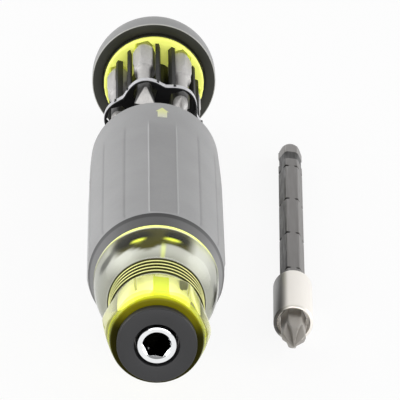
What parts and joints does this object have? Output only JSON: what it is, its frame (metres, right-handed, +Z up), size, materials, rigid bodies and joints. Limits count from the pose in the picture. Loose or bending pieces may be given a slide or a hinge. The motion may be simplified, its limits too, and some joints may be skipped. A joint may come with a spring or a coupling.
{
  "type": "multi-bit screwdriver",
  "caption": "Screwdriver with a pull-out bit store in its clear-fronted handle, shown open, and its notched hexagonal shaft lying loose beside it.",
  "frame": {"origin": "middle of the grip flat that the handle lies on", "axes": "+Y along the handle from its nose to its cap, +Z up, +X towards the loose shaft"},
  "size_m": [0.0672, 0.2107, 0.0386],
  "materials": {
    "clear_lime": "clear, tinted, polished",
    "lime": "satin moulded",
    "pale_lime": "matt moulded",
    "soft_grey": "soft matt",
    "black_plastic": "satin moulded",
    "black_cap": "matt moulded",
    "chrome": "polished plate",
    "steel": "tumbled grey",
    "dark_steel": "grey drawn bar",
    "nickel": "bright nickel plate",
    "spring_steel": "plain"
  },
  "bodies": {
    "handle": {"handle_core": "clear_lime", "grip": "soft_grey", "pull_arrow": "pale_lime", "nose_bush": "black_plastic", "socket_tube": "chrome", "detent_spring": "spring_steel"},
    "detent": {"detent_ball": "steel"},
    "carrier": {"cap_shell": "black_cap", "cap_liner": "lime", "bit_carrier": "black_plastic", "carrier_guide": "black_plastic"},
    "stored_bit_1": {"stored_bit_1": "steel"},
    "stored_bit_2": {"stored_bit_2": "steel"},
    "stored_bit_3": {"stored_bit_3": "steel"},
    "stored_bit_4": {"stored_bit_4": "steel"},
    "stored_bit_5": {"stored_bit_5": "steel"},
    "stored_bit_6": {"stored_bit_6": "steel"},
    "shaft": {"driver_shaft": "dark_steel", "socket_sleeve": "nickel", "sleeve_magnet": "spring_steel", "retaining_ring": "spring_steel"},
    "driver_bit": {"driver_bit": "steel"}
  },
  "joints": [
    {"name": "carrier_slide", "type": "slide", "parent": "handle", "child": "carrier", "axis": [0, -1, 0], "range_m": [0, 0.0623]},
    {"name": "detent_press", "type": "slide", "parent": "handle", "child": "detent", "axis": [-0.5, 0, -0.866], "range_m": [0, 0.0003], "stiffness_N_per_m": 300, "deforming": ["detent_spring"]},
    {"name": "stored_bit_1_slide", "type": "slide", "parent": "carrier", "child": "stored_bit_1", "axis": [0, -1, 0], "range_m": [0, 0.0195]},
    {"name": "stored_bit_2_slide", "type": "slide", "parent": "carrier", "child": "stored_bit_2", "axis": [0, -1, 0], "range_m": [0, 0.0195]},
    {"name": "stored_bit_3_slide", "type": "slide", "parent": "carrier", "child": "stored_bit_3", "axis": [0, -1, 0], "range_m": [0, 0.0195]},
    {"name": "stored_bit_4_slide", "type": "slide", "parent": "carrier", "child": "stored_bit_4", "axis": [0, -1, 0], "range_m": [0, 0.0195]},
    {"name": "stored_bit_5_slide", "type": "slide", "parent": "carrier", "child": "stored_bit_5", "axis": [0, -1, 0], "range_m": [0, 0.0195]},
    {"name": "stored_bit_6_slide", "type": "slide", "parent": "carrier", "child": "stored_bit_6", "axis": [0, -1, 0], "range_m": [0, 0.0195]},
    {"name": "shaft_lift", "type": "slide", "parent": "handle", "child": "shaft", "axis": [0, 0, 1], "range_m": [0, 0.06]},
    {"name": "driver_bit_slide", "type": "slide", "parent": "shaft", "child": "driver_bit", "axis": [-0.0279, -0.9993, 0.0234], "range_m": [0, 0.0136]}
  ]
}
